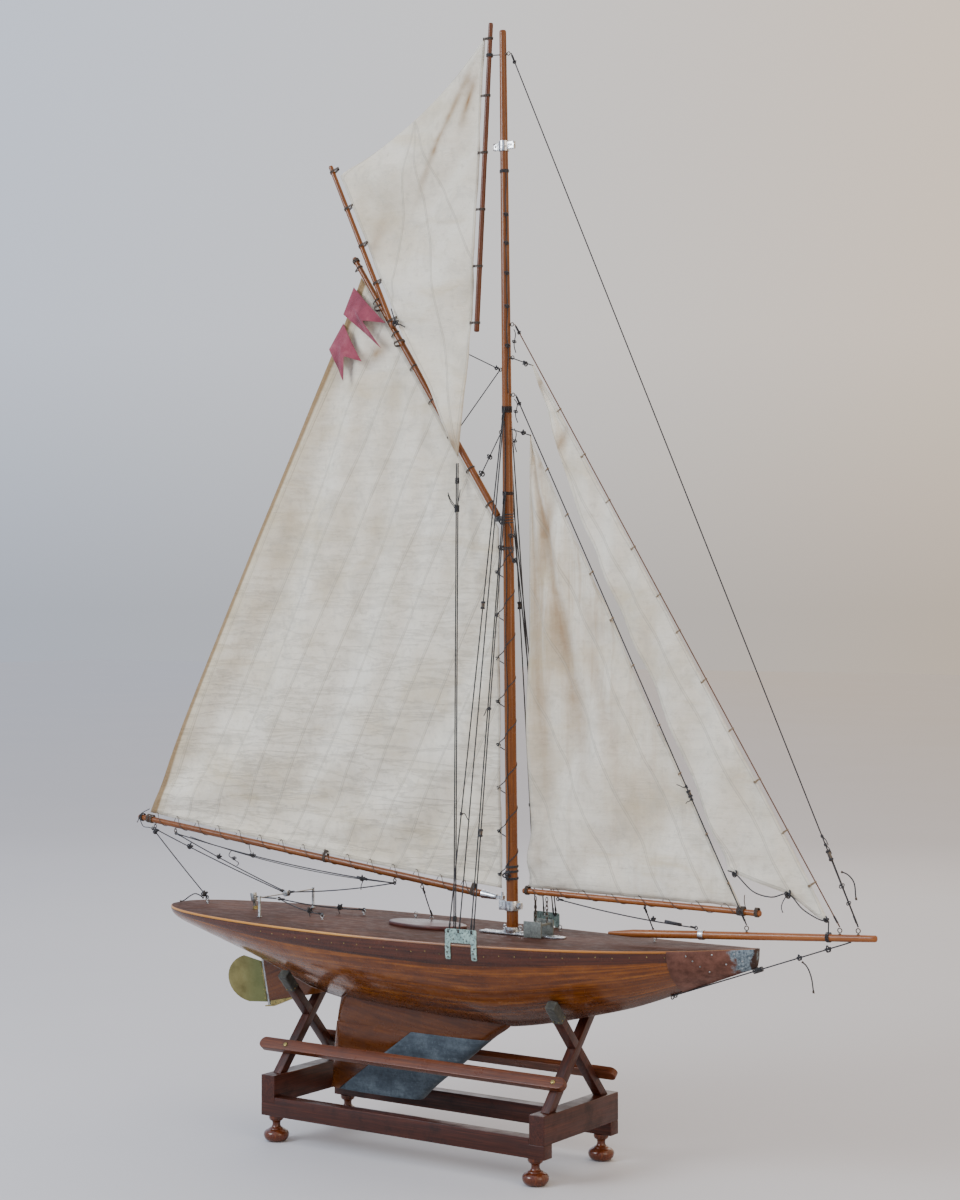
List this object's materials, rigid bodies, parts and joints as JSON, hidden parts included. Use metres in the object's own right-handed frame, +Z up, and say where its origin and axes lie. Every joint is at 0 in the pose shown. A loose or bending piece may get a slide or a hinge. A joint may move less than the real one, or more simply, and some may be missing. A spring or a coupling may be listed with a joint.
{
  "type": "pond yacht sailboat model",
  "caption": "Gaff-rigged pond yacht with topsail, staysail and jib, hollow plank hull, fin keel with lead ballast and brass rudder, on a cross-legged wooden cradle stand.",
  "frame": {"origin": "centre of the whole object's box, on the floor under the turned feet", "axes": "+X towards the bow, +Y to port, +Z up"},
  "size_m": [1.1342, 0.2138, 1.4402],
  "materials": {
    "mahogany_dark": "french polished, worn",
    "mahogany_mid": "polished",
    "leather_pad": "worn",
    "brass": "dull patina",
    "hull_varnish": "gloss varnish",
    "deck_stain": "satin stain",
    "lead": "oxidised lead",
    "copper": "tarnished copper",
    "verdigris": "verdigris",
    "nickel": "bright plated",
    "dark_iron": "oxidised",
    "spar_varnish": "varnish",
    "yard_varnish": "dark varnish",
    "cord": "waxed braided line",
    "sailcloth": "aged cotton",
    "flag_cloth": "faded cotton"
  },
  "bodies": {
    "stand": {"rail_port": "mahogany_dark", "rail_starboard": "mahogany_dark", "end_board_aft": "mahogany_dark", "end_board_fore": "mahogany_dark", "legs_aft": "mahogany_dark", "legs_fore": "mahogany_dark", "stretcher_port": "mahogany_mid", "stretcher_starboard": "mahogany_mid", "bun_feet": "mahogany_mid", "leg_pads": "leather_pad", "stand_screws": "brass"},
    "hatch": {"hatch_cover": "deck_stain"},
    "rudder": {"rudder_stock": "brass", "rudder_blade": "brass", "tiller": "nickel"},
    "main_rig": {"boom": "spar_varnish", "boom_ferrule": "nickel", "boom_eyes": "dark_iron", "gaff": "spar_varnish", "topsail_yard": "yard_varnish", "jackyard": "spar_varnish", "mainsail": "sailcloth", "topsail": "sailcloth", "pennants": "flag_cloth", "main_sheets": "cord"},
    "staysail_rig": {"staysail_club": "spar_varnish", "staysail": "sailcloth", "staysail_sheet": "cord"},
    "jib_rig": {"jib": "sailcloth"},
    "hull": {"hull_shell": "hull_varnish", "deck_panel": "deck_stain", "keel_fin": "hull_varnish", "keel_deadwood": "hull_varnish", "lead_ballast": "lead", "skeg": "hull_varnish", "skeg_heel_strap": "brass", "rudder_tube": "brass", "stem_cap": "copper", "chainplates": "verdigris", "mast_slide_plate": "nickel", "mast_collar": "nickel", "mast": "spar_varnish", "gooseneck_band": "nickel", "masthead_band": "nickel", "mast_eyes": "dark_iron", "bowsprit": "spar_varnish", "gammon_strap": "nickel", "bowsprit_eyes": "dark_iron", "deck_eyes": "nickel", "sheet_horse": "nickel", "club_bracket": "verdigris", "shrouds": "cord", "topmast_stay": "cord", "jib_stay": "cord", "inner_stay": "cord", "bobstay": "cord", "bowsies": "dark_iron", "stay_tail": "cord", "bobstay_tail": "cord", "stern_tail": "cord"}
  },
  "joints": [
    {"name": "hull_lift", "type": "slide", "parent": "stand", "child": "hull", "axis": [0, 0, 1], "range_m": [0, 0.25]},
    {"name": "hatch_lift", "type": "slide", "parent": "hull", "child": "hatch", "axis": [0, 0, 1], "range_m": [0, 0.008]},
    {"name": "rudder_turn", "type": "hinge", "parent": "hull", "child": "rudder", "pos_m": [-0.326, 0, 0.16], "axis": [-0.1959, 0, 0.9806], "range_deg": [-35, 35]},
    {"name": "main_swing", "type": "hinge", "parent": "hull", "child": "main_rig", "pos_m": [0.05444, 0, 0.333], "axis": [-0.0131, 0, 0.9999], "range_deg": [-45, 45], "deforming": ["main_sheets"]},
    {"name": "staysail_swing", "type": "hinge", "parent": "hull", "child": "staysail_rig", "pos_m": [0.401, 0, 0.32544], "axis": [-0.4529, 0, 0.8915], "range_deg": [-30, 30], "deforming": ["staysail_sheet"]},
    {"name": "jib_swing", "type": "hinge", "parent": "hull", "child": "jib_rig", "pos_m": [0.521, 0, 0.33286], "axis": [-0.526, 0, 0.8505], "range_deg": [-25, 25]}
  ]
}
